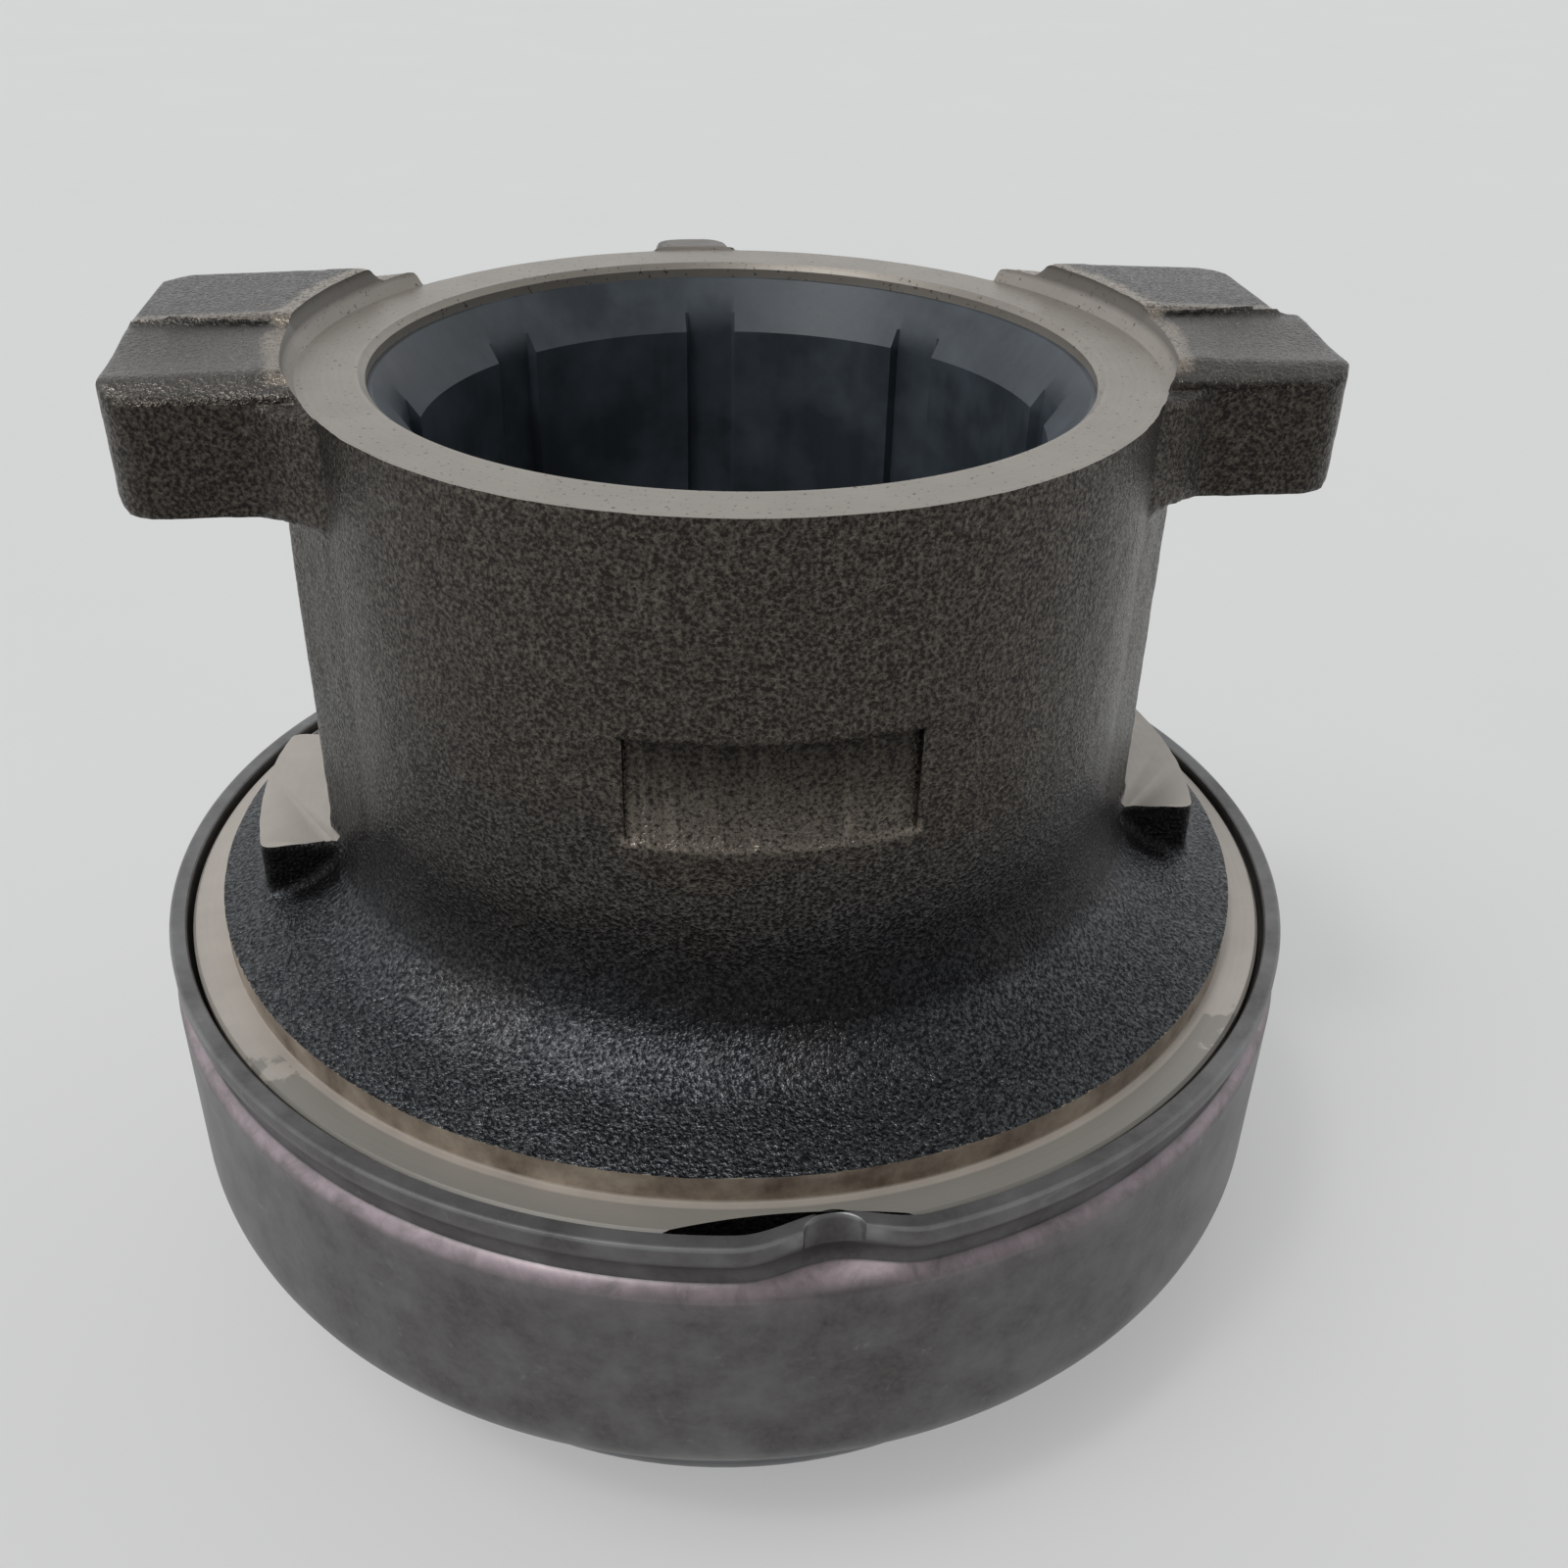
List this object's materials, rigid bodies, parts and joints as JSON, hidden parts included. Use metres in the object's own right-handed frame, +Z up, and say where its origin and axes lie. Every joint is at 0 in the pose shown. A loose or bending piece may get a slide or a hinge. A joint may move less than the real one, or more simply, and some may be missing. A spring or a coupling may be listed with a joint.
{
  "type": "clutch release bearing",
  "caption": "Heavy vehicle clutch release bearing: cast iron sleeve with fork ears and pads, plain guide bush, pressed steel cover and an angular contact ball bearing.",
  "frame": {"origin": "On the bore's axis, in the plane of the nose's contact face, which the part stands on.", "axes": "+Z runs up the guide tube from the clutch to the gearbox. +X runs through the two fork ears. The staked side of the cover is at -Y."},
  "size_m": [0.12, 0.12, 0.103],
  "materials": {
    "cast_iron": "sand cast, turned rim",
    "bush_polymer": "moulded, satin",
    "phosphated_steel": "dark phosphate, oiled",
    "spring_steel": "hardened strip",
    "bearing_steel": "ground",
    "ball_steel": "polished",
    "cage_polymer": "moulded",
    "seal_rubber": "moulded"
  },
  "bodies": {
    "sleeve": {"release_sleeve": "cast_iron", "guide_bush": "bush_polymer", "bearing_cover": "phosphated_steel", "spring_washer": "spring_steel", "outer_ring": "bearing_steel", "front_seal": "seal_rubber", "rear_seal": "seal_rubber"},
    "rotor": {"inner_ring": "bearing_steel"},
    "cage": {"ball_cage": "cage_polymer", "ball_01": "ball_steel", "ball_02": "ball_steel", "ball_03": "ball_steel", "ball_04": "ball_steel", "ball_05": "ball_steel", "ball_06": "ball_steel", "ball_07": "ball_steel", "ball_08": "ball_steel", "ball_09": "ball_steel", "ball_10": "ball_steel", "ball_11": "ball_steel", "ball_12": "ball_steel", "ball_13": "ball_steel", "ball_14": "ball_steel", "ball_15": "ball_steel", "ball_16": "ball_steel", "ball_17": "ball_steel", "ball_18": "ball_steel"}
  },
  "joints": [
    {"name": "ring_spin", "type": "hinge", "parent": "sleeve", "child": "rotor", "pos_m": [0, 0, 0.0252], "axis": [0, 0, 1], "continuous": true},
    {"name": "cage_orbit", "type": "hinge", "parent": "sleeve", "child": "cage", "pos_m": [0, 0, 0.0252], "axis": [0, 0, 1], "continuous": true}
  ],
  "couplings": [
    {"joint": "cage_orbit", "follows": "ring_spin", "ratio": 0.4524}
  ]
}
